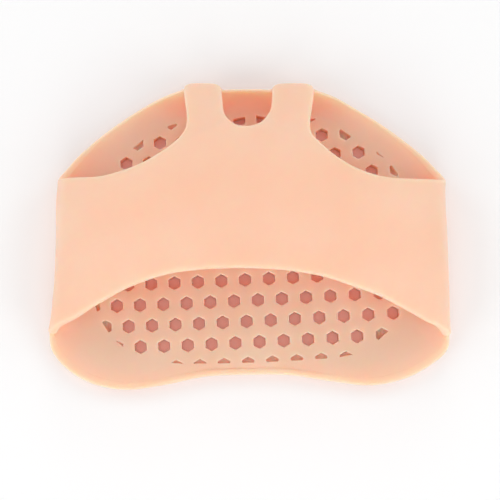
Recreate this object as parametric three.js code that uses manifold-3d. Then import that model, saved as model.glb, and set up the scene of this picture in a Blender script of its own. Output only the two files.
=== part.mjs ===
// Metatarsal pad: a one-piece moulded sleeve for the ball of the foot. A pierced sole with a
// rolled rim turns up at both sides into a thin band over the forefoot, and two straps run
// from the band between the toes to the front rim of the sole.
// X runs across the foot, Y towards the toes, Z up. The origin is under the middle, on the floor.
import * as THREE from 'three';
import { mergeVertices } from 'three/addons/utils/BufferGeometryUtils.js';
import Module from 'manifold-3d';

// Driving sizes in millimetres
const overallWidth = 96.6;
const overallDepth = 74.5;
const overallHeight = 20;
const soleThickness = 3.5;
const bandThickness = 1.9;
const sideRimHeight = 9;
const strapLap = 1.3;
const cellAcrossFlats = 2.95;
const cellPitch = 5.83;
const cellWebAtEdge = 0.4;
const fieldTurnDegrees = 2.86;
const fieldOffsetX = -1.18;
const fieldOffsetY = -5.45;
const fieldBow = 0.008;
const fieldSpread = 0.019;
const fieldSlant = 0.063;
const fieldSqueeze = 0.0026;

// Shape of the band's cross-section and of its fall towards the toes
const bandFullness = 2.5;
const toeFallFullness = 2.2;

// How finely the skins are cut
const ringCount = 5;
const strapColumns = [0, 0.16, 0.5, 0.84, 1];
const bandRows = [0, 0.05, 0.16, 0.3, 0.44, 0.58, 0.72, 0.85, 0.95, 1];
const strapRowCount = 6;

const halfWidth = overallWidth / 2;
const halfDepth = overallDepth / 2;
const toeReach = halfDepth - strapLap;

// Plan outline of the sole, anticlockwise from above, one table for each stretch between
// the corners where the band or a strap leaves the sole. Columns: across is a share of the
// half width, along a share of the half depth, rise a share of the way from the top of the
// sole to the side rim, roll a share of the half depth that the rim takes to turn up, and
// wall the thickness of the rim's edge in millimetres.
const columns = ['across', 'along', 'rise', 'roll', 'wall'];
const rearOutline = table(columns, [
  [-1.007, -0.634, 0.14, 0.21, 1.9],
  [-1.005, -0.715, 0.06, 0.19, 1.9],
  [-0.943, -0.838, 0.02, 0.155, 1.8],
  [-0.815, -0.948, 0.0, 0.125, 1.7],
  [-0.641, -1.0, 0.0, 0.11, 1.6],
  [-0.449, -0.975, 0.0, 0.085, 1.5],
  [-0.218, -0.915, 0.0, 0.06, 1.4],
  [0.004, -0.903, 0.0, 0.05, 1.4],
  [0.206, -0.906, 0.0, 0.06, 1.4],
  [0.407, -0.944, 0.0, 0.085, 1.5],
  [0.613, -0.972, 0.0, 0.11, 1.6],
  [0.773, -0.933, 0.0, 0.12, 1.7],
  [0.908, -0.848, 0.01, 0.14, 1.8],
  [1.004, -0.735, 0.06, 0.18, 1.9],
  [1.011, -0.65, 0.14, 0.2, 1.9],
]);
const rightOutline = table(columns, [
  [1.011, -0.65, 0.14, 0.2, 1.9],
  [1.0, -0.367, 0.8, 0.19, 1.9],
  [0.992, -0.041, 1.0, 0.18, 1.9],
  [0.989, 0.223, 0.78, 0.185, 1.9],
  [0.997, 0.379, 0.22, 0.19, 1.9],
]);
const rightToeOutline = table(columns, [
  [0.997, 0.393, 0.21, 0.19, 1.9],
  [0.914, 0.525, 0.13, 0.17, 1.4],
  [0.797, 0.662, 0.08, 0.143, 1.0],
  [0.652, 0.803, 0.06, 0.14, 0.8],
  [0.53, 0.9, 0.12, 0.138, 0.6],
  [0.432, 0.966, 0.36, 0.142, 0.6],
  [0.327, 1.002, 0.86, 0.145, 0.7],
]);
const rightStrapOutline = table(columns, [
  [0.327, 1.002, 0.86, 0.145, 0.7],
  [0.22, 0.999, 0.88, 0.14, 1.6],
  [0.113, 0.999, 0.86, 0.14, 0.7],
]);
const middleToeOutline = table(columns, [
  [0.113, 0.999, 0.86, 0.14, 0.7],
  [0.065, 1.008, 0.66, 0.144, 0.6],
  [-0.013, 1.013, 0.5, 0.142, 0.6],
  [-0.092, 1.008, 0.66, 0.146, 0.6],
  [-0.14, 0.999, 0.86, 0.15, 0.7],
]);
const leftStrapOutline = table(columns, [
  [-0.14, 0.999, 0.86, 0.15, 0.7],
  [-0.236, 0.999, 0.88, 0.155, 1.6],
  [-0.332, 1.002, 0.86, 0.16, 0.7],
]);
const leftToeOutline = table(columns, [
  [-0.332, 1.002, 0.86, 0.16, 0.7],
  [-0.434, 0.966, 0.36, 0.152, 0.6],
  [-0.531, 0.905, 0.12, 0.142, 0.6],
  [-0.65, 0.805, 0.06, 0.147, 0.8],
  [-0.786, 0.665, 0.08, 0.155, 1.0],
  [-0.891, 0.53, 0.13, 0.172, 1.4],
  [-0.978, 0.395, 0.21, 0.19, 1.9],
]);
const leftOutline = table(columns, [
  [-0.978, 0.381, 0.22, 0.19, 1.9],
  [-0.972, 0.223, 0.78, 0.185, 1.9],
  [-0.967, -0.041, 1.0, 0.172, 1.9],
  [-0.978, -0.367, 0.8, 0.185, 1.9],
  [-1.007, -0.634, 0.14, 0.21, 1.9],
]);

// Edges of the band seen from above. Columns: across is a share of the band's own half
// width at that row, along a share of the half depth. The rear edge is read as a curve,
// and each row of the toe edge is one column of the band's skin.
const bandRearEdge = table(['across', 'along'], [
  [-1.0, -0.634],
  [-0.931, -0.599],
  [-0.841, -0.557],
  [-0.749, -0.478],
  [-0.666, -0.41],
  [-0.591, -0.358],
  [-0.531, -0.324],
  [-0.463, -0.294],
  [-0.396, -0.268],
  [-0.296, -0.25],
  [-0.229, -0.239],
  [-0.062, -0.23],
  [0.088, -0.236],
  [0.188, -0.246],
  [0.288, -0.266],
  [0.368, -0.288],
  [0.435, -0.316],
  [0.502, -0.35],
  [0.583, -0.393],
  [0.638, -0.422],
  [0.727, -0.488],
  [0.797, -0.536],
  [0.854, -0.574],
  [0.906, -0.602],
  [1.0, -0.65],
]);
const leftToeEdge = table(['across', 'along'], [
  [-1.0, 0.381],
  [-0.964, 0.364],
  [-0.924, 0.362],
  [-0.851, 0.357],
  [-0.762, 0.356],
  [-0.674, 0.38],
  [-0.586, 0.415],
  [-0.509, 0.462],
  [-0.437, 0.52],
  [-0.379, 0.578],
]);
const middleToeEdge = table(['across', 'along'], [
  [-0.13, 0.737],
  [-0.105, 0.709],
  [-0.075, 0.686],
  [-0.028, 0.677],
  [0.014, 0.686],
  [0.049, 0.708],
  [0.077, 0.745],
]);
const rightToeEdge = table(['across', 'along'], [
  [0.353, 0.55],
  [0.417, 0.479],
  [0.5, 0.413],
  [0.588, 0.37],
  [0.676, 0.346],
  [0.764, 0.343],
  [0.853, 0.346],
  [0.928, 0.35],
  [0.968, 0.357],
  [1.0, 0.379],
]);

// Side edges of the straps seen from above, from the band to the rim. Columns as for the band.
const strapEdges = {
  leftStrap: {
    left: table(['across', 'along'], [
      [-0.379, 0.578],
      [-0.343, 0.628],
      [-0.324, 0.696],
      [-0.325, 0.773],
      [-0.336, 0.859],
      [-0.342, 0.922],
    ]),
    right: table(['across', 'along'], [
      [-0.13, 0.737],
      [-0.143, 0.772],
      [-0.148, 0.816],
      [-0.151, 0.86],
      [-0.153, 0.904],
      [-0.154, 0.929],
    ]),
  },
  rightStrap: {
    left: table(['across', 'along'], [
      [0.077, 0.745],
      [0.095, 0.787],
      [0.102, 0.831],
      [0.105, 0.876],
      [0.106, 0.912],
      [0.106, 0.929],
    ]),
    right: table(['across', 'along'], [
      [0.353, 0.55],
      [0.299, 0.62],
      [0.288, 0.689],
      [0.295, 0.773],
      [0.308, 0.858],
      [0.312, 0.921],
    ]),
  },
};

// Edge of the pierced field, seen from above. Columns are shares of the half width and depth.
const fieldEdge = table(['across', 'along'], [
  [0.004, -0.826],
  [0.236, -0.811],
  [0.448, -0.79],
  [0.533, -0.768],
  [0.66, -0.672],
  [0.74, -0.56],
  [0.811, -0.346],
  [0.831, -0.041],
  [0.811, 0.233],
  [0.766, 0.409],
  [0.724, 0.485],
  [0.654, 0.57],
  [0.584, 0.625],
  [0.524, 0.673],
  [0.468, 0.724],
  [0.405, 0.766],
  [0.341, 0.793],
  [0.307, 0.794],
  [0.184, 0.793],
  [0.079, 0.804],
  [0.037, 0.814],
  [-0.019, 0.808],
  [-0.082, 0.79],
  [-0.227, 0.773],
  [-0.376, 0.761],
  [-0.42, 0.741],
  [-0.484, 0.702],
  [-0.547, 0.646],
  [-0.593, 0.595],
  [-0.657, 0.524],
  [-0.723, 0.433],
  [-0.762, 0.345],
  [-0.802, 0.111],
  [-0.813, -0.143],
  [-0.789, -0.417],
  [-0.737, -0.576],
  [-0.637, -0.714],
  [-0.5, -0.793],
  [-0.387, -0.827],
  [-0.177, -0.83],
]);

function table(names, rows) {
  return rows.map((row) => Object.fromEntries(names.map((name, i) => [name, row[i]])));
}

function mix(a, b, share) {
  return a + (b - a) * share;
}

// Smooth curve through the rows of a table, as vectors of up to three of its columns.
function curveThrough(points, closed = false) {
  return new THREE.CatmullRomCurve3(points, closed, 'centripetal');
}

// A vertex of the two skins: the same place on the outside and on the inside of the wall.
class SkinPair {
  constructor(outer, inner) {
    this.outer = outer;
    this.inner = inner;
  }
}

// One stretch of the outline at the given shares of its length, without its last point,
// which is the first of the next stretch.
function sampleOutline(rows, reach, shares) {
  const plan = curveThrough(rows.map((row) => (
    new THREE.Vector3(row.across * halfWidth, row.along * reach, 0))));
  const rim = curveThrough(rows.map((row) => (
    new THREE.Vector3(row.rise, row.roll * halfDepth, row.wall))));
  return shares.slice(0, -1).map((share) => {
    const place = plan.getUtoTmapping(share);
    const at = plan.getPoint(place);
    const shape = rim.getPoint(place);
    const height = mix(soleThickness, sideRimHeight, Math.max(0, shape.x));
    return { x: at.x, y: at.y, z: height, roll: shape.y, wall: shape.z, lap: 0 };
  });
}

function evenShares(count) {
  return Array.from({ length: count + 1 }, (_, i) => i / count);
}

// The straps lap over the rim by a bump in plan, full across the middle and rounded at its ends.
function sampleStrapSeat(rows) {
  return sampleOutline(rows, toeReach, strapColumns).map((sample, i) => ({
    ...sample,
    lap: strapLap * Math.sqrt(1 - Math.abs(2 * strapColumns[i] - 1) ** 4),
  }));
}

const outlineStretches = {
  rear: sampleOutline(rearOutline, halfDepth, evenShares(34)),
  rightSide: sampleOutline(rightOutline, halfDepth, bandRows),
  rightToe: sampleOutline(rightToeOutline, toeReach, evenShares(12)),
  rightStrap: sampleStrapSeat(rightStrapOutline),
  middleToe: sampleOutline(middleToeOutline, toeReach, evenShares(6)),
  leftStrap: sampleStrapSeat(leftStrapOutline),
  leftToe: sampleOutline(leftToeOutline, toeReach, evenShares(12)),
  leftSide: sampleOutline(leftOutline, halfDepth, bandRows.map((row) => 1 - row).reverse()),
};

const outline = Object.values(outlineStretches).flat();
const stretchStart = {};
let counted = 0;
for (const [name, samples] of Object.entries(outlineStretches)) {
  stretchStart[name] = counted;
  counted += samples.length;
}

// Outward direction of the outline in plan, from neighbours a few points away on each side.
function outwardAt(index, reach) {
  const before = outline[(index - reach + outline.length) % outline.length];
  const after = outline[(index + reach) % outline.length];
  const direction = new THREE.Vector3(after.y - before.y, before.x - after.x, 0);
  return direction.normalize();
}

const skin = [];
const faces = [];

// Rings of the rolled rim, from the flat sole (ring 0) to the outline (last ring).
const rings = [];
for (let ring = 0; ring <= ringCount; ring += 1) {
  const turn = (ring / ringCount) * (Math.PI / 2);
  rings.push(outline.map((sample, index) => {
    const near = outwardAt(index, 1);
    const wide = outwardAt(index, 3);
    const base = new THREE.Vector3(sample.x, sample.y, 0);
    const flat = base.clone().addScaledVector(wide, -sample.roll);
    const outerRim = base.clone().addScaledVector(near, sample.lap);
    const innerRim = base.clone().addScaledVector(wide, -sample.wall);
    const outer = flat.clone().lerp(outerRim, Math.sin(turn));
    const inner = flat.clone().lerp(innerRim, Math.sin(turn));
    outer.z = sample.z * (1 - Math.cos(turn));
    inner.z = mix(soleThickness, sample.z, Math.sin(turn) ** 2);
    skin.push(new SkinPair(outer, inner));
    return skin.length - 1;
  }));
}
for (let ring = 0; ring < ringCount; ring += 1) {
  for (let i = 0; i < outline.length; i += 1) {
    const next = (i + 1) % outline.length;
    faces.push([rings[ring][i], rings[ring][next], rings[ring + 1][next], rings[ring + 1][i]]);
  }
}

// Flat plate of the sole, inside the first ring. Seen from below it faces down.
const plateLoop = rings[0].map((id) => new THREE.Vector2(skin[id].outer.x, skin[id].outer.y));
for (const [a, b, c] of THREE.ShapeUtils.triangulateShape(plateLoop, [])) {
  faces.push([rings[0][c], rings[0][b], rings[0][a]]);
}

const rim = rings[ringCount];
const lastRow = bandRows.length - 1;
const rimAt = (name, step) => rim[(stretchStart[name] + step) % rim.length];
const rightSeam = bandRows.map((_, row) => rimAt('rightSide', row));
const leftSeam = bandRows.map((_, row) => rimAt('leftSide', lastRow - row));

// Height of the band over the seam: full over the middle, falling towards the toes.
function toeFall(along) {
  return (1 - Math.max(0, along) ** toeFallFullness) ** (1 / toeFallFullness);
}

function bandHeight(across, fall, seamHeight) {
  const crown = Math.max(0, 1 - Math.abs(across) ** bandFullness) ** (1 / bandFullness);
  return mix(seamHeight, overallHeight, crown * fall);
}

// Columns of the band: the toe edge row by row, the rear edge at even turns of the section.
function strapRoot(from, to) {
  return strapColumns.slice(1, -1).map((share) => ({
    across: mix(from.across, to.across, share),
    along: mix(from.along, to.along, share),
  }));
}
const leftRoot = strapRoot(leftToeEdge.at(-1), middleToeEdge[0]);
const rightRoot = strapRoot(middleToeEdge.at(-1), rightToeEdge[0]);
const toeColumns = [...leftToeEdge, ...leftRoot, ...middleToeEdge, ...rightRoot, ...rightToeEdge];
const lastColumn = toeColumns.length - 1;
const rearCurve = curveThrough(bandRearEdge.map((row) => new THREE.Vector3(row.across, row.along, 0)));
const rearSamples = rearCurve.getPoints(400);
const rearColumns = toeColumns.map((_, column) => {
  const turn = (column / lastColumn) * Math.PI;
  const across = -Math.sign(Math.cos(turn)) * Math.abs(Math.cos(turn)) ** (2 / bandFullness);
  const hit = rearSamples.reduce((best, point) => (
    Math.abs(point.x - across) < Math.abs(best.x - across) ? point : best));
  return { across, along: hit.y };
});

// Outer points of the band, row by row from the rear edge to the toe edge.
const band = bandRows.map((share, row) => {
  const left = skin[leftSeam[row]].outer;
  const right = skin[rightSeam[row]].outer;
  return toeColumns.map((toe, column) => {
    const rear = rearColumns[column];
    const across = mix(rear.across, toe.across, share);
    const along = mix(rear.along, toe.along, share) * halfDepth;
    const sideShare = (across + 1) / 2;
    const seam = mix(left.z, right.z, sideShare);
    const height = bandHeight(across, toeFall(along / halfDepth), seam);
    return new THREE.Vector3(mix(left.x, right.x, sideShare), along, height);
  });
});

// Outer points of a strap, from its root on the band's toe edge to its seat on the rim.
function strapPoints(firstColumn, stretch, seats) {
  const root = band[lastRow].slice(firstColumn, firstColumn + strapColumns.length);
  const bandHalfWidth = (band[lastRow].at(-1).x - band[lastRow][0].x) / 2;
  const bandMiddle = (band[lastRow].at(-1).x + band[lastRow][0].x) / 2;
  const edges = strapEdges[stretch];
  const [left, right] = [edges.left, edges.right].map((rows) => curveThrough(
    rows.map((row) => new THREE.Vector3(row.across, row.along, 0))));
  const rows = [root];
  for (let step = 1; step <= strapRowCount; step += 1) {
    const share = Math.sin((step / strapRowCount) * (Math.PI / 2));
    const leftAt = left.getPointAt(share);
    const rightAt = right.getPointAt(share);
    rows.push(seats.map((seat, column) => {
      const across = mix(leftAt.x, rightAt.x, strapColumns[column]);
      const along = mix(leftAt.y, rightAt.y, strapColumns[column]) * halfDepth;
      const pull = share ** 4;
      const x = mix(bandMiddle + across * bandHalfWidth, seat.x, pull);
      const y = mix(along, seat.y, pull);
      const fall = toeFall(Math.min(1, y / mix(halfDepth, seat.y, pull)));
      const seam = mix(band[lastRow][0].z, seat.z, pull);
      return new THREE.Vector3(x, y, bandHeight(across, fall, seam));
    }));
  }
  return rows;
}

// Direction out of a sheet of points at one of its places, from its neighbours.
function sheetNormal(sheet, row, column) {
  const before = sheet[Math.max(0, row - 1)];
  const after = sheet[Math.min(sheet.length - 1, row + 1)];
  const line = sheet[row];
  const alongStep = after[column].clone().sub(before[column]);
  const acrossStep = line[Math.min(line.length - 1, column + 1)].clone()
    .sub(line[Math.max(0, column - 1)]);
  return acrossStep.cross(alongStep).normalize();
}

// Pairs each outer point of a sheet with its inner point, one wall thickness below.
function pairSheet(sheet, fixed) {
  return sheet.map((line, row) => line.map((outer, column) => {
    const shared = fixed(row, column);
    if (shared !== undefined) {
      return shared;
    }
    const inner = outer.clone().addScaledVector(sheetNormal(sheet, row, column), -bandThickness);
    skin.push(new SkinPair(outer, inner));
    return skin.length - 1;
  }));
}

function coverSheet(ids) {
  for (let row = 0; row < ids.length - 1; row += 1) {
    for (let column = 0; column < ids[row].length - 1; column += 1) {
      faces.push([ids[row][column], ids[row][column + 1],
        ids[row + 1][column + 1], ids[row + 1][column]]);
    }
  }
}

const bandIds = pairSheet(band, (row, column) => {
  if (column === 0) {
    return leftSeam[row];
  }
  return column === lastColumn ? rightSeam[row] : undefined;
});
coverSheet(bandIds);

// Each strap shares its first row with the band and its last row with the rim.
function addStrap(firstColumn, stretch) {
  const width = strapColumns.length;
  const seatIds = strapColumns.map((_, column) => rimAt(stretch, width - 1 - column));
  const points = strapPoints(firstColumn, stretch, seatIds.map((id) => skin[id].outer));
  coverSheet(pairSheet(points, (row, column) => {
    if (row === 0) {
      return bandIds[lastRow][firstColumn + column];
    }
    return row === strapRowCount ? seatIds[column] : undefined;
  }));
}
addStrap(leftToeEdge.length - 1, 'leftStrap');
addStrap(leftToeEdge.length + leftRoot.length + middleToeEdge.length - 1, 'rightStrap');

// Closes the two skins into one solid: outer faces, inner faces turned over, and a rim
// wall along each edge that only one face of a skin uses.
function closeSkins() {
  const count = skin.length;
  const positions = [...skin.map((pair) => pair.outer), ...skin.map((pair) => pair.inner)];
  const index = [];
  const edgeUse = new Set();
  for (const face of faces) {
    face.forEach((id, i) => edgeUse.add(`${id}_${face[(i + 1) % face.length]}`));
  }
  for (const face of faces) {
    for (let i = 1; i < face.length - 1; i += 1) {
      index.push(face[0], face[i], face[i + 1]);
      index.push(count + face[0], count + face[i + 1], count + face[i]);
    }
    face.forEach((a, i) => {
      const b = face[(i + 1) % face.length];
      if (!edgeUse.has(`${b}_${a}`)) {
        index.push(b, a, count + a, b, count + a, count + b);
      }
    });
  }
  const geometry = new THREE.BufferGeometry();
  const numbers = positions.flatMap((point) => [point.x, point.y, point.z]);
  geometry.setAttribute('position', new THREE.Float32BufferAttribute(numbers, 3));
  geometry.setIndex(index);
  return geometry;
}

// Centres of the six-sided cells whose whole outline lies inside the field's edge.
function cellCentres() {
  const radius = cellAcrossFlats / Math.sqrt(3) + cellWebAtEdge;
  const turn = THREE.MathUtils.degToRad(fieldTurnDegrees);
  const edge = curveThrough(fieldEdge.map((row) => (
    new THREE.Vector3(row.across * halfWidth, row.along * halfDepth, 0))), true).getPoints(240);
  const reach = Math.ceil(halfWidth / cellPitch) + 1;
  const centres = [];
  for (let row = -reach; row <= reach; row += 1) {
    for (let column = -reach; column <= reach; column += 1) {
      const across = column + (row % 2 === 0 ? 0.5 : 0);
      const pitch = cellPitch * (1 - fieldSqueeze * row);
      const local = new THREE.Vector2(
        across * pitch + fieldSpread * across ** 2 + fieldSlant * row,
        row * pitch * Math.sin(Math.PI / 3) + fieldBow * across ** 2,
      );
      const centre = local.rotateAround(new THREE.Vector2(), turn);
      centre.add(new THREE.Vector2(fieldOffsetX, fieldOffsetY));
      const corners = [0, 1, 2, 3, 4, 5].map((corner) => {
        const angle = turn + Math.PI / 6 + (corner * Math.PI) / 3;
        return new THREE.Vector2(Math.cos(angle), Math.sin(angle)).multiplyScalar(radius).add(centre);
      });
      if (corners.every((point) => isInside(point, edge))) {
        centres.push(centre);
      }
    }
  }
  return centres;
}

function isInside(point, loop) {
  let inside = false;
  for (let i = 0, j = loop.length - 1; i < loop.length; j = i, i += 1) {
    const a = loop[i];
    const b = loop[j];
    if ((a.y > point.y) !== (b.y > point.y)
      && point.x < ((b.x - a.x) * (point.y - a.y)) / (b.y - a.y) + a.x) {
      inside = !inside;
    }
  }
  return inside;
}

// A six-sided prism through the sole, standing at the given centre, one corner forward.
function cellPrism(centre) {
  const prism = new THREE.CylinderGeometry(
    cellAcrossFlats / Math.sqrt(3), cellAcrossFlats / Math.sqrt(3), soleThickness * 2, 6, 1);
  prism.rotateX(Math.PI / 2);
  prism.rotateZ(THREE.MathUtils.degToRad(fieldTurnDegrees));
  prism.translate(centre.x, centre.y, soleThickness / 2);
  return prism;
}

const wasm = await Module();
wasm.setup();

function toSolid(geometry) {
  const bare = geometry.clone();
  bare.deleteAttribute('normal');
  bare.deleteAttribute('uv');
  const merged = mergeVertices(bare, 1e-4);
  return new wasm.Manifold(new wasm.Mesh({
    numProp: 3,
    vertProperties: new Float32Array(merged.attributes.position.array),
    triVerts: new Uint32Array(merged.index.array),
  }));
}

function toGeometry(solid) {
  const mesh = solid.getMesh();
  const geometry = new THREE.BufferGeometry();
  geometry.setAttribute('position', new THREE.BufferAttribute(mesh.vertProperties, 3));
  geometry.setIndex(new THREE.BufferAttribute(mesh.triVerts, 1));
  geometry.computeVertexNormals();
  return geometry;
}

let body = toSolid(closeSkins());
const cells = cellCentres().map((centre) => toSolid(cellPrism(centre)));
body = body.subtract(cells.reduce((joined, cell) => joined.add(cell)));

const silicone = new THREE.MeshStandardMaterial({ color: 0xf5c0a4, roughness: 0.5, metalness: 0 });
const pad = new THREE.Mesh(toGeometry(body), silicone);
pad.name = 'metatarsal_pad';

const model = new THREE.Group();
model.add(pad);
export default model;
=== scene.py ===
import math
from bisect import bisect_right

import bmesh
import bpy
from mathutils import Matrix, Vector
from mathutils.geometry import delaunay_2d_cdt


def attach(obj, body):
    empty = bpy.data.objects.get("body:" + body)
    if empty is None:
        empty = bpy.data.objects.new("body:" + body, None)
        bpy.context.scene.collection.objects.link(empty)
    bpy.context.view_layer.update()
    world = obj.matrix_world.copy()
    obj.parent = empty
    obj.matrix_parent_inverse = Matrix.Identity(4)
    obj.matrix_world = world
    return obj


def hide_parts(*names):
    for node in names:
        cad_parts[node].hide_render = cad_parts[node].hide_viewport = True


# Metatarsal pad: a one-piece moulded silicone sleeve for the ball of the foot. A pierced sole
# with a rolled rim turns up at both sides into a thin band over the forefoot, and two straps
# run from the band between the toes to the front rim of the sole.
# X runs across the foot, Y towards the toes, Z up. The shape is worked out in millimetres.
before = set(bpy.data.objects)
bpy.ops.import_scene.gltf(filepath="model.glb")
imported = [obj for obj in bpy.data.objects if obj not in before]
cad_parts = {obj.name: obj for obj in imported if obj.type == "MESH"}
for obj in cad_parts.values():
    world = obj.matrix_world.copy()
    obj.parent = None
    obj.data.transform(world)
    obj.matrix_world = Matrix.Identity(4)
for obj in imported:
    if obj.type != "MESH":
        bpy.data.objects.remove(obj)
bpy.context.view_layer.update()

MM = 0.001

# Sizes in millimetres, the same as in the part's source
OVERALL_WIDTH = 96.6
OVERALL_DEPTH = 74.5
OVERALL_HEIGHT = 20
SOLE_THICKNESS = 3.5
BAND_THICKNESS = 1.9
SIDE_RIM_HEIGHT = 9
STRAP_LAP = 1.3

# Powers of the rounded curves: the band's section, its fall towards the toes, and the plan of a
# strap's seat on the rim. A higher power is fuller. The pull is how late a strap turns to its seat.
BAND_FULLNESS = 2.5
TOE_FALL_FULLNESS = 2.2
STRAP_SEAT_FULLNESS = 4
STRAP_PULL = 4

# Rows of cells. The bow, spread, slant and squeeze say how the rows depart from an even pattern:
# rows bend towards the toes, cells drift to the right away from the middle, rows drift to the
# right towards the toes, and the pitch shrinks towards the toes.
CELL_ACROSS_FLATS = 2.95
CELL_PITCH = 5.83
FIELD_TURN = math.radians(2.86)
FIELD_OFFSET = Vector((-1.18, -5.45))
FIELD_BOW = 0.008
FIELD_SPREAD = 0.019
FIELD_SLANT = 0.063
FIELD_SQUEEZE = 0.0026

# Rounding that only the looks have, in millimetres. A corner's rounding takes up no more than a
# share of the sides beside it, and a side whose two corners are nearly straight sets no limit.
CELL_CORNER_RADIUS = 0.3
CELL_CORNER_SHARE = 0.8
NEARLY_STRAIGHT = 1e-3
CELL_LIP = 0.16
CELL_LIP_MARGIN = 0.06
CELL_LIP_ANGLES = (30, 60, 90)
SMALLEST_CELL_AREA = 0.35

# Part cells below a share of a whole cell are shallow. Their depth runs from the first value, for
# a share near nothing, to the second, for a whole cell.
SHALLOW_CELL_SHARE = 0.66
SHALLOW_CELL_DEPTHS = (0.5, 2.1)

# How the sole's flat plates meet the rolled rim, and how the cage of the skins is fitted
FLAT_MARGIN = 0.3
FITTING_STEPS = 2
ROUNDING_LEVELS = 2

# How finely curves are followed. The rim's direction is taken between neighbours this far apart.
REAR_STEPS = 34
SIDE_TOE_STEPS = 12
MIDDLE_TOE_STEPS = 6
BAND_EDGE_STEPS = 400
FIELD_EDGE_STEPS = 240
CROSSING_HALVINGS = 16
CORNER_STEPS = 2
RIM_NEIGHBOURS = 3

# Silicone: colours between which it varies, with the places on the ramp where they begin, and
# the sizes of its clouds and of its grain
SILICONE_COLOURS = ((0.35, (0.985, 0.585, 0.43, 1)), (0.65, (0.995, 0.615, 0.465, 1)))
SILICONE_ROUGHNESS = 0.5
SILICONE_IOR = 1.41
LIGHT_REACH = 7 * MM
LIGHT_REACH_BY_COLOUR = (1.0, 0.45, 0.3)
CLOUD_SCALE = 60
CLOUD_DETAIL = 3
GRAIN_SCALE = 2500
GRAIN_DETAIL = 2
GRAIN_STRENGTH = 0.12
GRAIN_DEPTH = 0.05 * MM

# Floor, in metres
FLOOR_HALF_SIZE = 3.0
FLOOR_WHITENESS = 0.93
FLOOR_ROUGHNESS = 0.9
FLOOR_GAP = 0.1 * MM

# Camera, in metres, with its sensor and lens in millimetres
CAMERA_TILT = math.radians(5)
CAMERA_DISTANCE = 290 * MM
CAMERA_TARGET = Vector((0.2, -2.9, 0)) * MM
CAMERA_SENSOR = 36
CAMERA_LENS = 83.9
CAMERA_CLIP = 0.01

# Light from all round, and how often it is followed from surface to surface
WORLD_STRENGTH = 0.46
LIGHT_BOUNCES = 16
DIFFUSE_BOUNCES = 12

# Softboxes round the pad, in metres. Columns: name, angle in degrees round from the heel side
# towards the right, share of full white that it gives the floor.
SOFTBOX_DISTANCE = 0.65
SOFTBOX_SLOPE = 0.65
SOFTBOX_SIZE = 0.5
SOFTBOXES = [
    ("heel_softbox", 0, 0.12),
    ("right_heel_softbox", 60, 0.11),
    ("right_toe_softbox", 120, 0.08),
    ("toe_softbox", 180, 0.08),
    ("left_toe_softbox", 240, 0.08),
    ("left_heel_softbox", 300, 0.11),
]
OVERHEAD_SHARE = 0.04

HALF_WIDTH = OVERALL_WIDTH / 2
HALF_DEPTH = OVERALL_DEPTH / 2
TOE_REACH = HALF_DEPTH - STRAP_LAP

# Rings of the rolled rim and rows of a strap, then the places of a strap's columns across it and
# of the band's rows from its rear edge to its toe edge, as shares
RING_COUNT = 5
STRAP_ROW_COUNT = 6
STRAP_COLUMNS = [0, 0.16, 0.5, 0.84, 1]
BAND_ROWS = [0, 0.05, 0.16, 0.3, 0.44, 0.58, 0.72, 0.85, 0.95, 1]

# Plan outline of the sole, anticlockwise from above. Columns: across as a share of the half
# width, along as a share of the half depth, rise as a share of the way from the top of the sole
# to the side rim, roll as the share of the half depth that the rim takes to turn up, wall as the
# thickness of the rim's edge in millimetres.
REAR_OUTLINE = [
    (-1.007, -0.634, 0.14, 0.21, 1.2),
    (-1.005, -0.715, 0.06, 0.19, 1.5),
    (-0.943, -0.838, 0.02, 0.155, 1.8),
    (-0.815, -0.948, 0.0, 0.125, 1.7),
    (-0.641, -1.0, 0.0, 0.11, 1.6),
    (-0.449, -0.975, 0.0, 0.085, 1.5),
    (-0.218, -0.915, 0.0, 0.06, 1.4),
    (0.004, -0.903, 0.0, 0.05, 1.4),
    (0.206, -0.906, 0.0, 0.06, 1.4),
    (0.407, -0.944, 0.0, 0.085, 1.5),
    (0.613, -0.972, 0.0, 0.11, 1.6),
    (0.773, -0.933, 0.0, 0.12, 1.7),
    (0.908, -0.848, 0.01, 0.14, 1.8),
    (1.004, -0.735, 0.06, 0.18, 1.5),
    (1.011, -0.65, 0.14, 0.2, 1.2),
]
RIGHT_OUTLINE = [
    (1.011, -0.65, 0.14, 0.2, 1.2),
    (1.0, -0.367, 0.8, 0.19, 1.9),
    (0.992, -0.041, 1.0, 0.18, 1.9),
    (0.989, 0.223, 0.78, 0.185, 1.9),
    (0.997, 0.379, 0.22, 0.19, 1.9),
]
RIGHT_TOE_OUTLINE = [
    (0.997, 0.393, 0.21, 0.19, 1.9),
    (0.914, 0.525, 0.13, 0.17, 1.4),
    (0.797, 0.662, 0.08, 0.143, 1.0),
    (0.652, 0.803, 0.06, 0.14, 0.8),
    (0.53, 0.9, 0.12, 0.138, 0.6),
    (0.432, 0.966, 0.36, 0.142, 0.6),
    (0.327, 1.002, 0.86, 0.145, 0.7),
]
RIGHT_STRAP_OUTLINE = [
    (0.327, 1.002, 0.86, 0.145, 0.7),
    (0.22, 0.999, 0.88, 0.14, 1.6),
    (0.113, 0.999, 0.86, 0.14, 0.7),
]
MIDDLE_TOE_OUTLINE = [
    (0.113, 0.999, 0.86, 0.14, 0.7),
    (0.065, 1.008, 0.66, 0.144, 0.6),
    (-0.013, 1.013, 0.5, 0.142, 0.6),
    (-0.092, 1.008, 0.66, 0.146, 0.6),
    (-0.14, 0.999, 0.86, 0.15, 0.7),
]
LEFT_STRAP_OUTLINE = [
    (-0.14, 0.999, 0.86, 0.15, 0.7),
    (-0.236, 0.999, 0.88, 0.155, 1.6),
    (-0.332, 1.002, 0.86, 0.16, 0.7),
]
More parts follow.
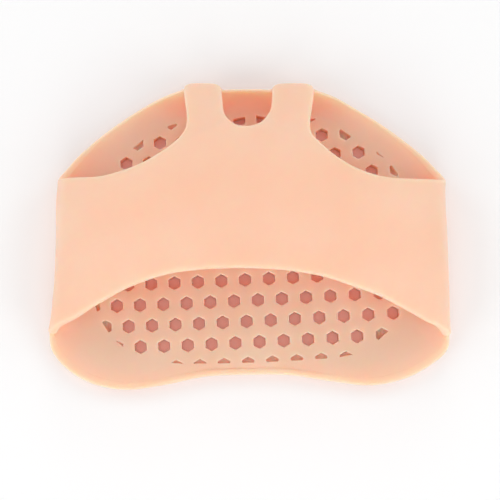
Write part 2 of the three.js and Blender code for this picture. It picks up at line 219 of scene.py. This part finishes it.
LEFT_TOE_OUTLINE = [
    (-0.332, 1.002, 0.86, 0.16, 0.7),
    (-0.434, 0.966, 0.36, 0.152, 0.6),
    (-0.531, 0.905, 0.12, 0.142, 0.6),
    (-0.65, 0.805, 0.06, 0.147, 0.8),
    (-0.786, 0.665, 0.08, 0.155, 1.0),
    (-0.891, 0.53, 0.13, 0.172, 1.4),
    (-0.97, 0.395, 0.21, 0.19, 1.7),
]
LEFT_OUTLINE = [
    (-0.97, 0.381, 0.22, 0.19, 1.7),
    (-0.972, 0.223, 0.78, 0.185, 1.9),
    (-0.967, -0.041, 1.0, 0.172, 1.9),
    (-0.978, -0.367, 0.8, 0.185, 1.9),
    (-1.007, -0.634, 0.14, 0.21, 1.2),
]

# Edges of the band seen from above. Columns: across as a share of the band's own half width at
# that row, along as a share of the half depth. The rear edge is read as a curve, and each row of
# the toe edge is one column of the band.
BAND_REAR_EDGE = [
    (-1.0, -0.634),
    (-0.935, -0.588),
    (-0.889, -0.566),
    (-0.841, -0.537),
    (-0.796, -0.503),
    (-0.75, -0.467),
    (-0.706, -0.436),
    (-0.666, -0.404),
    (-0.591, -0.356),
    (-0.531, -0.324),
    (-0.463, -0.294),
    (-0.396, -0.268),
    (-0.296, -0.25),
    (-0.229, -0.239),
    (-0.062, -0.23),
    (0.088, -0.236),
    (0.188, -0.246),
    (0.288, -0.266),
    (0.368, -0.288),
    (0.435, -0.316),
    (0.502, -0.345),
    (0.583, -0.381),
    (0.638, -0.411),
    (0.727, -0.473),
    (0.797, -0.516),
    (0.855, -0.558),
    (0.906, -0.581),
    (1.0, -0.65),
]
LEFT_TOE_EDGE = [
    (-1.0, 0.381),
    (-0.964, 0.364),
    (-0.924, 0.362),
    (-0.851, 0.357),
    (-0.762, 0.356),
    (-0.674, 0.38),
    (-0.586, 0.415),
    (-0.509, 0.462),
    (-0.437, 0.52),
    (-0.379, 0.578),
]
MIDDLE_TOE_EDGE = [
    (-0.13, 0.737),
    (-0.105, 0.709),
    (-0.075, 0.686),
    (-0.028, 0.677),
    (0.014, 0.686),
    (0.049, 0.708),
    (0.077, 0.745),
]
RIGHT_TOE_EDGE = [
    (0.353, 0.55),
    (0.417, 0.479),
    (0.5, 0.413),
    (0.588, 0.37),
    (0.676, 0.346),
    (0.764, 0.343),
    (0.853, 0.346),
    (0.928, 0.35),
    (0.968, 0.357),
    (1.0, 0.379),
]

# Side edges of the straps seen from above, from the band to the rim. Columns as for the band.
LEFT_STRAP_EDGES = (
    [
        (-0.379, 0.578),
        (-0.343, 0.628),
        (-0.324, 0.696),
        (-0.325, 0.773),
        (-0.336, 0.859),
        (-0.342, 0.922),
    ],
    [
        (-0.13, 0.737),
        (-0.143, 0.772),
        (-0.148, 0.816),
        (-0.151, 0.86),
        (-0.153, 0.904),
        (-0.154, 0.929),
    ],
)
RIGHT_STRAP_EDGES = (
    [
        (0.077, 0.745),
        (0.095, 0.787),
        (0.102, 0.831),
        (0.105, 0.876),
        (0.106, 0.912),
        (0.106, 0.929),
    ],
    [
        (0.353, 0.55),
        (0.299, 0.62),
        (0.288, 0.689),
        (0.295, 0.773),
        (0.308, 0.858),
        (0.312, 0.921),
    ],
)

# Edge of the pierced field seen from above. Columns are shares of the half width and depth.
FIELD_EDGE = [
    (0.004, -0.826),
    (0.236, -0.811),
    (0.448, -0.79),
    (0.533, -0.768),
    (0.66, -0.672),
    (0.74, -0.56),
    (0.811, -0.346),
    (0.831, -0.041),
    (0.811, 0.233),
    (0.766, 0.409),
    (0.724, 0.485),
    (0.654, 0.57),
    (0.584, 0.625),
    (0.524, 0.673),
    (0.468, 0.724),
    (0.405, 0.766),
    (0.341, 0.793),
    (0.307, 0.794),
    (0.184, 0.793),
    (0.079, 0.804),
    (0.037, 0.814),
    (-0.019, 0.808),
    (-0.082, 0.79),
    (-0.227, 0.773),
    (-0.376, 0.761),
    (-0.42, 0.741),
    (-0.484, 0.702),
    (-0.547, 0.646),
    (-0.593, 0.595),
    (-0.657, 0.524),
    (-0.723, 0.433),
    (-0.762, 0.345),
    (-0.802, 0.111),
    (-0.813, -0.143),
    (-0.789, -0.417),
    (-0.739, -0.578),
    (-0.641, -0.717),
    (-0.5, -0.793),
    (-0.387, -0.827),
    (-0.177, -0.83),
]


def mix(a, b, share):
    return a + (b - a) * share


def turned(point, angle):
    cos, sin = math.cos(angle), math.sin(angle)
    return Vector((point.x * cos - point.y * sin, point.x * sin + point.y * cos))


class Curve:
    """A smooth curve through its points: a centripetal Catmull-Rom spline, open or closed."""

    LENGTH_STEPS = 200
    SHORTEST = 1e-4  # below this, two points count as one

    def __init__(self, points, closed=False):
        self.points = [Vector(point) for point in points]
        self.closed = closed
        walked = [self.at(step / self.LENGTH_STEPS) for step in range(self.LENGTH_STEPS + 1)]
        self.lengths = [0]
        for before, after in zip(walked, walked[1:]):
            self.lengths.append(self.lengths[-1] + (after - before).length)

    def at(self, place):
        """The point at a place from 0 to 1. Each stretch between two points is an equal share."""
        points, count = self.points, len(self.points)
        stretch, w = divmod(place * (count if self.closed else count - 1), 1)
        stretch = int(stretch)
        if not self.closed and stretch == count - 1:
            stretch, w = count - 2, 1
        p1, p2 = points[stretch % count], points[(stretch + 1) % count]
        at_start = not self.closed and stretch == 0
        at_end = not self.closed and stretch + 2 >= count
        p0 = 2 * p1 - p2 if at_start else points[stretch - 1]
        p3 = 2 * p2 - p1 if at_end else points[(stretch + 2) % count]
        d0, d1, d2 = [math.sqrt((b - a).length) for a, b in ((p0, p1), (p1, p2), (p2, p3))]
        d1 = d1 if d1 > self.SHORTEST else 1.0
        d0 = d0 if d0 > self.SHORTEST else d1
        d2 = d2 if d2 > self.SHORTEST else d1
        leave = ((p1 - p0) / d0 - (p2 - p0) / (d0 + d1) + (p2 - p1) / d1) * d1
        reach = ((p2 - p1) / d1 - (p3 - p1) / (d1 + d2) + (p3 - p2) / d2) * d1
        return (
            p1 * (2 * w**3 - 3 * w**2 + 1)
            + leave * (w**3 - 2 * w**2 + w)
            + p2 * (3 * w**2 - 2 * w**3)
            + reach * (w**3 - w**2)
        )

    def place_of(self, share):
        """Turns a share of the curve's length into a place for at()."""
        walked = share * self.lengths[-1]
        step = min(bisect_right(self.lengths, walked), self.LENGTH_STEPS) - 1
        before, after = self.lengths[step], self.lengths[step + 1]
        return (step + (walked - before) / (after - before)) / self.LENGTH_STEPS


class Sample:
    """One place on the sole's outline: where it is, how high the rim is and how wide it rolls."""

    def __init__(self, at, shape, lap):
        self.at = Vector((at[0], at[1], 0))
        self.height = mix(SOLE_THICKNESS, SIDE_RIM_HEIGHT, max(0, shape[0]))
        self.roll = shape[1]
        self.wall = shape[2]
        self.lap = lap


def sample_outline(rows, reach, shares, laps=None):
    """One stretch of the outline without its last point, which begins the next stretch."""
    plan = Curve([(row[0] * HALF_WIDTH, row[1] * reach) for row in rows])
    rim = Curve([(row[2], row[3] * HALF_DEPTH, row[4]) for row in rows])
    samples = []
    for index, share in enumerate(shares[:-1]):
        place = plan.place_of(share)
        samples.append(Sample(plan.at(place), rim.at(place), laps[index] if laps else 0))
    return samples


def even_shares(count):
    return [step / count for step in range(count + 1)]


def build_outline():
    """Samples all round the sole, and where each stretch starts."""
    insets = [abs(2 * share - 1) ** STRAP_SEAT_FULLNESS for share in STRAP_COLUMNS]
    laps = [STRAP_LAP * math.sqrt(1 - inset) for inset in insets]
    toe_shares, middle_shares = even_shares(SIDE_TOE_STEPS), even_shares(MIDDLE_TOE_STEPS)
    rows_back = [1 - row for row in BAND_ROWS[::-1]]
    stretches = {
        "rear": sample_outline(REAR_OUTLINE, HALF_DEPTH, even_shares(REAR_STEPS)),
        "right_side": sample_outline(RIGHT_OUTLINE, HALF_DEPTH, BAND_ROWS),
        "right_toe": sample_outline(RIGHT_TOE_OUTLINE, TOE_REACH, toe_shares),
        "right_strap": sample_outline(RIGHT_STRAP_OUTLINE, TOE_REACH, STRAP_COLUMNS, laps),
        "middle_toe": sample_outline(MIDDLE_TOE_OUTLINE, TOE_REACH, middle_shares),
        "left_strap": sample_outline(LEFT_STRAP_OUTLINE, TOE_REACH, STRAP_COLUMNS, laps),
        "left_toe": sample_outline(LEFT_TOE_OUTLINE, TOE_REACH, toe_shares),
        "left_side": sample_outline(LEFT_OUTLINE, HALF_DEPTH, rows_back),
    }
    samples, starts = [], {}
    for name, stretch in stretches.items():
        starts[name] = len(samples)
        samples += stretch
    return samples, starts


class Skins:
    """The outer and inner skin of the pad: every vertex is a pair of points on the same faces."""

    def __init__(self):
        self.outer, self.inner, self.faces = [], [], []
        self.open_ids, self.level_ids = set(), set()

    def add(self, outer, inner):
        self.outer.append(outer)
        self.inner.append(inner)
        return len(self.outer) - 1

    def cover(self, rows, closed=False):
        """Quads between the rows of ids, all the way round where the rows are closed."""
        for line, after in zip(rows, rows[1:]):
            for column in range(len(line) if closed else len(line) - 1):
                beside = (column + 1) % len(line)
                self.faces.append((line[column], line[beside], after[beside], after[column]))

    def closed_mesh(self):
        """Points and faces of one body that is open only where the flat plates go, and the
        numbers of the points that lie level beside those plates."""
        count = len(self.outer)
        used = {(face[i], face[(i + 1) % 4]) for face in self.faces for i in range(4)}
        faces = list(self.faces)
        for face in self.faces:
            faces.append(tuple(count + index for index in reversed(face)))
            for i in range(4):
                a, b = face[i], face[(i + 1) % 4]
                if (b, a) not in used and not {a, b} <= self.open_ids:
                    faces.append((b, a, count + a, count + b))
        level = self.level_ids | {count + index for index in self.level_ids}
        return self.outer + self.inner, faces, level


def add_rolled_rim(skins, outline):
    """Rings from the flat sole out and up to the rim. The last ring is the rim itself."""

    def outward(index, reach):
        before, after = outline[index - reach].at, outline[(index + reach) % len(outline)].at
        return Vector((after.y - before.y, before.x - after.x, 0)).normalized()

    def ring(turn, margin=0):
        ids = []
        for index, sample in enumerate(outline):
            wide = outward(index, RIM_NEIGHBOURS)
            flat = sample.at - wide * (sample.roll + margin)
            outer = flat.lerp(sample.at + outward(index, 1) * sample.lap, math.sin(turn))
            inner = flat.lerp(sample.at - wide * sample.wall, math.sin(turn))
            outer.z = sample.height * (1 - math.cos(turn))
            inner.z = mix(SOLE_THICKNESS, sample.height, math.sin(turn) ** 2)
            ids.append(skins.add(outer, inner))
        return ids

    rings = [ring(0, FLAT_MARGIN)]
    rings += [ring(step / RING_COUNT * math.pi / 2) for step in range(RING_COUNT + 1)]
    skins.open_ids = set(rings[0])
    skins.level_ids = set(rings[0] + rings[1])
    skins.cover(rings, closed=True)
    return rings[-1]


def toe_fall(along):
    """Share of the band's height that is left towards the toes."""
    return (1 - max(0, along) ** TOE_FALL_FULLNESS) ** (1 / TOE_FALL_FULLNESS)


def band_height(across, fall, seam_height):
    """Height of the band over its seams, arched from side to side."""
    crown = max(0, 1 - abs(across) ** BAND_FULLNESS) ** (1 / BAND_FULLNESS)
    return mix(seam_height, OVERALL_HEIGHT, crown * fall)


def strap_root(start, end):
    """The columns of a strap that lie between its two side edges, where it leaves the band."""
    return [Vector(start).lerp(Vector(end), share) for share in STRAP_COLUMNS[1:-1]]


def band_points(left_seam, right_seam, toe_columns):
    """Outer points of the band, row by row from its rear edge to its toe edge."""
    rear_curve = Curve(BAND_REAR_EDGE)
    rear_points = [rear_curve.at(share) for share in even_shares(BAND_EDGE_STEPS)]
    rear_columns = []
    for column in range(len(toe_columns)):
        turn = column / (len(toe_columns) - 1) * math.pi
        across = -math.copysign(abs(math.cos(turn)) ** (2 / BAND_FULLNESS), math.cos(turn))
        along = min(rear_points, key=lambda point: abs(point.x - across)).y
        rear_columns.append((across, along))
    rows = []
    for share, left, right in zip(BAND_ROWS, left_seam, right_seam):
        row = []
        for rear, toe in zip(rear_columns, toe_columns):
            across = mix(rear[0], toe[0], share)
            along = mix(rear[1], toe[1], share)
            side = (across + 1) / 2
            seam = mix(left.z, right.z, side)
            height = band_height(across, toe_fall(along), seam)
            row.append(Vector((mix(left.x, right.x, side), along * HALF_DEPTH, height)))
        rows.append(row)
    return rows


def strap_points(band_edge, root, edges, seats):
    """Outer points of a strap, from its root on the band's toe edge to its seat on the rim."""
    half = (band_edge[-1].x - band_edge[0].x) / 2
    middle = (band_edge[-1].x + band_edge[0].x) / 2
    left, right = Curve(edges[0]), Curve(edges[1])
    rows = [root]
    for step in range(1, STRAP_ROW_COUNT + 1):
        share = math.sin(step / STRAP_ROW_COUNT * math.pi / 2)
        left_at, right_at = left.at(left.place_of(share)), right.at(right.place_of(share))
        pull = share**STRAP_PULL
        row = []
        for column, seat in zip(STRAP_COLUMNS, seats):
            across, along = left_at.lerp(right_at, column)
            x = mix(middle + across * half, seat.x, pull)
            y = mix(along * HALF_DEPTH, seat.y, pull)
            fall = toe_fall(min(1, y / mix(HALF_DEPTH, seat.y, pull)))
            seam = mix(band_edge[0].z, seat.z, pull)
            row.append(Vector((x, y, band_height(across, fall, seam))))
        rows.append(row)
    return rows


def sheet_normal(sheet, row, column):
    """Outward direction of a sheet at one of its points."""
    after = sheet[min(len(sheet) - 1, row + 1)][column]
    before = sheet[max(0, row - 1)][column]
    line = sheet[row]
    beside = line[min(len(line) - 1, column + 1)] - line[max(0, column - 1)]
    return beside.cross(after - before).normalized()


def add_sheet(skins, sheet, shared):
    """Pairs the points of a sheet with its inner skin, one wall thickness below. A place in
    shared keeps the id that it has there."""
    ids = []
    for row, line in enumerate(sheet):
        ids.append([])
        for column, outer in enumerate(line):
            index = shared.get((row, column))
            if index is None:
                inner = outer - sheet_normal(sheet, row, column) * BAND_THICKNESS
                index = skins.add(outer, inner)
            ids[-1].append(index)
    skins.cover(ids)
    return ids


def build_skins():
    """Both skins of the rim, the band and the two straps."""
    skins = Skins()
    outline, starts = build_outline()
    rim = add_rolled_rim(skins, outline)

    def rim_ids(name, steps):
        return [rim[(starts[name] + step) % len(rim)] for step in steps]

    row_count = len(BAND_ROWS)
    right_seam = rim_ids("right_side", range(row_count))
    left_seam = rim_ids("left_side", reversed(range(row_count)))
    left_root = strap_root(LEFT_TOE_EDGE[-1], MIDDLE_TOE_EDGE[0])
    right_root = strap_root(MIDDLE_TOE_EDGE[-1], RIGHT_TOE_EDGE[0])
    toe_columns = [*LEFT_TOE_EDGE, *left_root, *MIDDLE_TOE_EDGE, *right_root, *RIGHT_TOE_EDGE]
    band = band_points(
        [skins.outer[index] for index in left_seam],
        [skins.outer[index] for index in right_seam],
        toe_columns,
    )
    shared = {(row, 0): index for row, index in enumerate(left_seam)}
    shared |= {(row, len(toe_columns) - 1): index for row, index in enumerate(right_seam)}
    toe_ids = add_sheet(skins, band, shared)[-1]

    left_start = len(LEFT_TOE_EDGE) - 1
    right_start = left_start + len(left_root) + len(MIDDLE_TOE_EDGE)
    width = len(STRAP_COLUMNS)
    for name, start, edges in (
        ("left_strap", left_start, LEFT_STRAP_EDGES),
        ("right_strap", right_start, RIGHT_STRAP_EDGES),
    ):
        seat_ids = rim_ids(name, reversed(range(width)))
        seats = [skins.outer[index] for index in seat_ids]
        points = strap_points(band[-1], band[-1][start:start + width], edges, seats)
        shared = {(0, column): toe_ids[start + column] for column in range(width)}
        shared |= {(STRAP_ROW_COUNT, column): index for column, index in enumerate(seat_ids)}
        add_sheet(skins, points, shared)
    return skins


def is_inside(point, loop):
    """Whether a line from the point towards the right crosses the loop an odd number of times."""
    inside = False
    for a, b in zip(loop, loop[1:] + loop[:1]):
        if (a.y > point.y) != (b.y > point.y):
            if point.x < (b.x - a.x) * (point.y - a.y) / (b.y - a.y) + a.x:
                inside = not inside
    return inside


def crossing(inner, outer, loop):
    """Where the line from a point inside the loop to one outside it crosses the loop."""
    for _ in range(CROSSING_HALVINGS):
        middle = (inner + outer) / 2
        if is_inside(middle, loop):
            inner = middle
        else:
            outer = middle
    return inner


def polygon_area(corners):
    """Area inside corners that run anticlockwise."""
    return sum(a.cross(b) for a, b in zip(corners, corners[1:] + corners[:1])) / 2


def cell_corners(row, column):
    """Corners of one six-sided cell of the pattern, whether it lies in the field or not."""
    across = column + (0.5 if row % 2 == 0 else 0)
    pitch = CELL_PITCH * (1 - FIELD_SQUEEZE * row)
    centre = Vector((
        across * pitch + FIELD_SPREAD * across**2 + FIELD_SLANT * row,
        row * pitch * math.sin(math.pi / 3) + FIELD_BOW * across**2,
    ))
    centre = turned(centre, FIELD_TURN) + FIELD_OFFSET
    radius = CELL_ACROSS_FLATS / math.sqrt(3)
    angles = [FIELD_TURN + math.pi / 6 + corner * math.pi / 3 for corner in range(6)]
    return [centre + Vector((math.cos(a), math.sin(a))) * radius for a in angles]


def part_inside(corners, edge):
    """The part of a cell that lies inside the edge of the field, as a list of corners."""
    within = [is_inside(corner, edge) for corner in corners]
    outline = []
    for i in range(len(corners)):
        j = (i + 1) % len(corners)
        if within[i]:
            outline.append(corners[i])
        if within[i] and not within[j]:
            outline.append(crossing(corners[i], corners[j], edge))
        if within[j] and not within[i]:
            outline.append(crossing(corners[j], corners[i], edge))
    return outline


def cell_outlines():
    """Corners of each cell of the field, without those of which next to nothing is left."""
    edge_curve = Curve([(row[0] * HALF_WIDTH, row[1] * HALF_DEPTH) for row in FIELD_EDGE], True)
    edge = [edge_curve.at(share) for share in even_shares(FIELD_EDGE_STEPS)[:-1]]
    reach = math.ceil(HALF_WIDTH / CELL_PITCH) + 1
    cells = []
    for row in range(-reach, reach + 1):
        for column in range(-reach, reach + 1):
            outline = part_inside(cell_corners(row, column), edge)
            if len(outline) > 2 and polygon_area(outline) > SMALLEST_CELL_AREA:
                cells.append(outline)
    return cells


def rounded_outline(corners):
    """Points and outward directions round a convex outline whose corners are rounded."""
    count = len(corners)
    sides = [corners[(i + 1) % count] - corners[i] for i in range(count)]
    normals = [Vector((side.y, -side.x)).normalized() for side in sides]
    turns = [normals[i - 1].angle_signed(normals[i], 0) for i in range(count)]
    radius = CELL_CORNER_RADIUS
    for i in range(count):
        reach = math.tan(abs(turns[i]) / 2) + math.tan(abs(turns[(i + 1) % count]) / 2)
        radius = min(radius, CELL_CORNER_SHARE * sides[i].length / max(reach, NEARLY_STRAIGHT))
    points = []
    for i in range(count):
        before, after = normals[i - 1], normals[i]
        middle = corners[i] - (before + after) * radius / (1 + before.dot(after))
        for step in range(CORNER_STEPS + 1):
            outward = before.slerp(after, step / CORNER_STEPS)
            points.append((middle + outward * radius, outward))
    return points


def wall_profile(share):
    """Offset and height of each ring of a cell's wall, from the top of the sole down. A part
    cell, of which only a small share is left, ends above the underside of the sole."""
    flat = [(CELL_LIP + CELL_LIP_MARGIN, 0), (CELL_LIP, 0)]
    turn = [math.radians(angle) for angle in CELL_LIP_ANGLES]
    bend = [(CELL_LIP * (1 - math.sin(a)), CELL_LIP * (1 - math.cos(a))) for a in turn]
    upper = flat + bend
    top = [(offset, SOLE_THICKNESS - depth) for offset, depth in upper]
    bottom = [(offset, depth) for offset, depth in reversed(upper)]
    if share < SHALLOW_CELL_SHARE:
        return [*top, (0, SOLE_THICKNESS - mix(*SHALLOW_CELL_DEPTHS, share))]
    return top + bottom


def add_cells(mesh, cells):
    """Walls of the cells, and a floor in each shallow one. Gives back the top ring of each cell
    and the bottom ring of each one that goes through."""
    whole_area = CELL_ACROSS_FLATS**2 * math.sqrt(3) / 2
    tops, bottoms = [], []
    for corners in cells:
        outline = rounded_outline(corners)
        share = polygon_area(corners) / whole_area
        rings = []
        for offset, height in wall_profile(share):
            places = [point + outward * offset for point, outward in outline]
            rings.append([mesh.verts.new((place.x, place.y, height)) for place in places])
        for upper, lower in zip(rings, rings[1:]):
            for i in range(len(upper)):
                mesh.faces.new((upper[i - 1], upper[i], lower[i], lower[i - 1]))
        tops.append(rings[0])
        if share < SHALLOW_CELL_SHARE:
            mesh.faces.new(rings[-1])
        else:
            bottoms.append(rings[-1])
    return tops, bottoms


def open_loops(mesh):
    """The loops of edges that only one face uses, as lists of vertices in order."""
    waiting = {edge for edge in mesh.edges if len(edge.link_faces) == 1}
    loops = []
    while waiting:
        edge = waiting.pop()
        loop = [edge.verts[0], edge.verts[1]]
        while True:
            ahead = [e for e in loop[-1].link_edges if e in waiting]
            if not ahead:
                break
            waiting.discard(ahead[0])
            loop.append(ahead[0].other_vert(loop[-1]))
        loops.append(loop[:-1])
    return loops


def fill_plate(mesh, border, holes, facing_up):
    """Triangles of a flat plate inside its border, left open in each hole."""
    inside_border, same_point = 1, 1e-7
    verts, sides, owner = [], [], []
    for number, loop in enumerate([border, *holes]):
        first = len(verts)
        verts += loop
        owner += [number] * len(loop)
        sides += [(first + i, first + (i + 1) % len(loop)) for i in range(len(loop))]
    found = delaunay_2d_cdt([vert.co.xy for vert in verts], sides, [], inside_border, same_point)
    triangles, origins = found[2:4]
    source = [points[0] for points in origins]
    for triangle in triangles:
        ids = [source[index] for index in triangle]
        owners = {owner[index] for index in ids}
        if len(owners) == 1 and owners != {0}:
            continue
        a, b, c = (verts[index] for index in ids)
        normal_up = (b.co.xy - a.co.xy).cross(c.co.xy - a.co.xy) > 0
        mesh.faces.new((a, b, c) if normal_up == facing_up else (a, c, b))


def mesh_object(name, points, faces):
    data = bpy.data.meshes.new(name)
    data.from_pydata(points, [], faces)
    piece = bpy.data.objects.new(name, data)
    bpy.context.collection.objects.link(piece)
    return piece


def rounded_cage(points, faces, level):
    """The skins under a subdivision surface. Rounding draws a surface in from its points, so
    the cage is widened until the rounded surface has their outline in plan."""
    cage = mesh_object("pad_cage", points, faces)
    rounding = cage.modifiers.new("rounding", "SUBSURF")
    rounding.levels = rounding.render_levels = ROUNDING_LEVELS
    for _ in range(FITTING_STEPS):
        smooth = cage.evaluated_get(bpy.context.evaluated_depsgraph_get()).data
        drawn_in = [point - smooth.vertices[i].co for i, point in enumerate(points)]
        for vert, offset in zip(cage.data.vertices, drawn_in):
            if vert.index not in level:
                vert.co += Vector((offset.x, offset.y, 0))
        cage.data.update()
    return cage


def build_pad():
    """The whole pad as one closed mesh: rounded skins, pierced plates and the cells' walls."""
    cage = rounded_cage(*build_skins().closed_mesh())
    smooth = cage.evaluated_get(bpy.context.evaluated_depsgraph_get()).to_mesh()

    mesh = bmesh.new()
    mesh.from_mesh(smooth)
    loops = open_loops(mesh)
    top_border = max(loops, key=lambda loop: loop[0].co.z)
    bottom_border = min(loops, key=lambda loop: loop[0].co.z)
    tops, bottoms = add_cells(mesh, cell_outlines())
    fill_plate(mesh, top_border, tops, facing_up=True)
    fill_plate(mesh, bottom_border, bottoms, facing_up=False)
    bmesh.ops.scale(mesh, vec=(MM, MM, MM), verts=mesh.verts)
    for face in mesh.faces:
        face.smooth = True

    data = bpy.data.meshes.new("pad")
    mesh.to_mesh(data)
    mesh.free()
    bpy.data.objects.remove(cage)
    pad = bpy.data.objects.new("pad", data)
    bpy.context.collection.objects.link(pad)
    return pad


def silicone_material():
    """Soft skin-coloured silicone: light goes into it, and its surface is satin."""
    material = bpy.data.materials.new("silicone")
    material.use_nodes = True
    nodes, links = material.node_tree.nodes, material.node_tree.links
    shader = nodes["Principled BSDF"]
    shader.inputs["Roughness"].default_value = SILICONE_ROUGHNESS
    shader.inputs["IOR"].default_value = SILICONE_IOR
    shader.inputs["Subsurface Weight"].default_value = 1.0
    shader.inputs["Subsurface Radius"].default_value = LIGHT_REACH_BY_COLOUR
    shader.inputs["Subsurface Scale"].default_value = LIGHT_REACH

    place = nodes.new("ShaderNodeTexCoord")
    clouds = nodes.new("ShaderNodeTexNoise")
    clouds.inputs["Scale"].default_value = CLOUD_SCALE
    clouds.inputs["Detail"].default_value = CLOUD_DETAIL
    colours = nodes.new("ShaderNodeValToRGB")
    for stop, (position, colour) in zip(colours.color_ramp.elements, SILICONE_COLOURS):
        stop.position = position
        stop.color = colour
    links.new(place.outputs["Object"], clouds.inputs["Vector"])
    links.new(clouds.outputs["Fac"], colours.inputs["Fac"])
    links.new(colours.outputs["Color"], shader.inputs["Base Color"])

    grain = nodes.new("ShaderNodeTexNoise")
    grain.inputs["Scale"].default_value = GRAIN_SCALE
    grain.inputs["Detail"].default_value = GRAIN_DETAIL
    bump = nodes.new("ShaderNodeBump")
    bump.inputs["Strength"].default_value = GRAIN_STRENGTH
    bump.inputs["Distance"].default_value = GRAIN_DEPTH
    links.new(place.outputs["Object"], grain.inputs["Vector"])
    links.new(grain.outputs["Fac"], bump.inputs["Height"])
    links.new(bump.outputs["Normal"], shader.inputs["Normal"])
    return material


def floor_material():
    """Plain pale matt floor."""
    material = bpy.data.materials.new("floor")
    material.use_nodes = True
    shader = material.node_tree.nodes["Principled BSDF"]
    shader.inputs["Base Color"].default_value = (*[FLOOR_WHITENESS] * 3, 1)
    shader.inputs["Roughness"].default_value = FLOOR_ROUGHNESS
    return material


def build_floor():
    size = FLOOR_HALF_SIZE
    plan = [(-size, -size), (size, -size), (size, size), (-size, size)]
    corners = [(x, y, -FLOOR_GAP) for x, y in plan]
    floor = mesh_object("floor", corners, [(0, 1, 2, 3)])
    floor.data.materials.append(floor_material())
    return floor


def add_softbox(name, place, share):
    """A round softbox aimed at the pad, which gives the floor there its share of full white."""
    light = bpy.data.lights.new(name, "AREA")
    light.shape = "DISK"
    light.size = SOFTBOX_SIZE
    light.energy = share * math.pi**2 * place.length**3 / (FLOOR_WHITENESS * place.z)
    softbox = bpy.data.objects.new(name, light)
    softbox.location = place
    softbox.rotation_euler = (-place).to_track_quat("-Z", "Y").to_euler()
    bpy.context.collection.objects.link(softbox)


def add_studio_light():
    """Even white light from all round, and the softboxes."""
    world = bpy.data.worlds.new("studio")
    world.use_nodes = True
    background = world.node_tree.nodes["Background"]
    background.inputs["Color"].default_value = (1, 1, 1, 1)
    background.inputs["Strength"].default_value = WORLD_STRENGTH
    bpy.context.scene.world = world
    for name, angle, share in SOFTBOXES:
        angle = math.radians(angle)
        reach = Vector((math.sin(angle), -math.cos(angle), SOFTBOX_SLOPE)) * SOFTBOX_DISTANCE
        add_softbox(name, reach, share)
    add_softbox("overhead_softbox", Vector((0, 0, SOFTBOX_DISTANCE)), OVERHEAD_SHARE)


def add_camera():
    """The camera of the main picture, nearly straight above the pad."""
    data = bpy.data.cameras.new("camera")
    data.sensor_width = CAMERA_SENSOR
    data.lens = CAMERA_LENS
    data.clip_start = CAMERA_CLIP
    camera = bpy.data.objects.new("camera", data)
    away = Vector((0, -math.sin(CAMERA_TILT), math.cos(CAMERA_TILT)))
    camera.location = CAMERA_TARGET + away * CAMERA_DISTANCE
    camera.rotation_euler = (CAMERA_TILT, 0, 0)
    bpy.context.collection.objects.link(camera)
    bpy.context.scene.camera = camera


def main():
    pad = build_pad()
    pad.data.materials.append(silicone_material())
    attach(pad, "root")
    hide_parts("metatarsal_pad")

    build_floor()
    add_studio_light()
    add_camera()
    bpy.context.scene.view_settings.view_transform = "Standard"
    bpy.context.scene.cycles.max_bounces = LIGHT_BOUNCES
    bpy.context.scene.cycles.diffuse_bounces = DIFFUSE_BOUNCES


main()
